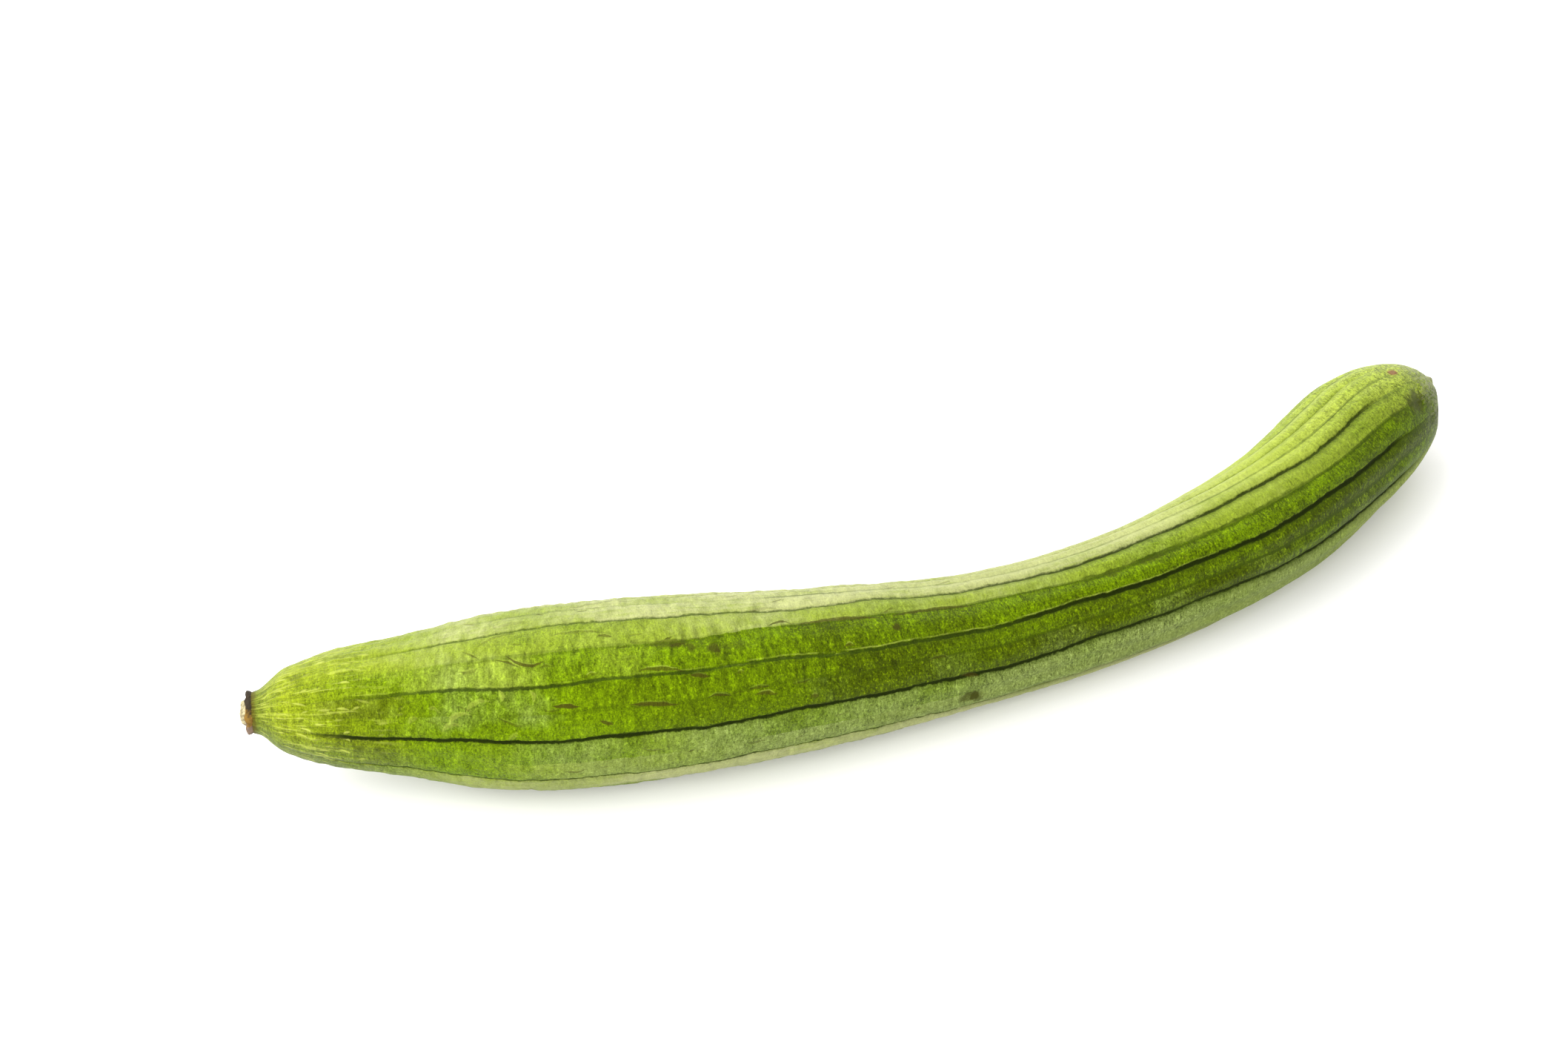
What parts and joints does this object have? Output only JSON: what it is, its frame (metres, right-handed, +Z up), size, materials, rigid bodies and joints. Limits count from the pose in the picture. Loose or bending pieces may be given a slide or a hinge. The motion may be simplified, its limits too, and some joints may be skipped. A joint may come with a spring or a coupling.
{
  "type": "smooth gourd",
  "caption": "Long green gourd with dark length-wise veins, a thick belly and a bent blossom end, cut from its vine and lying on its side.",
  "frame": {"origin": "middle of the box that holds the gourd, on the ground it lies on", "axes": "+Z up, +X along the longest extent from the cut stalk to the blossom end, which bends round towards +Y"},
  "size_m": [0.4259, 0.2112, 0.0616],
  "materials": {
    "skin": "satin",
    "dry_stalk": "matte"
  },
  "bodies": {
    "root": {"fruit": "skin", "stalk_stub": "dry_stalk"}
  },
  "joints": []
}
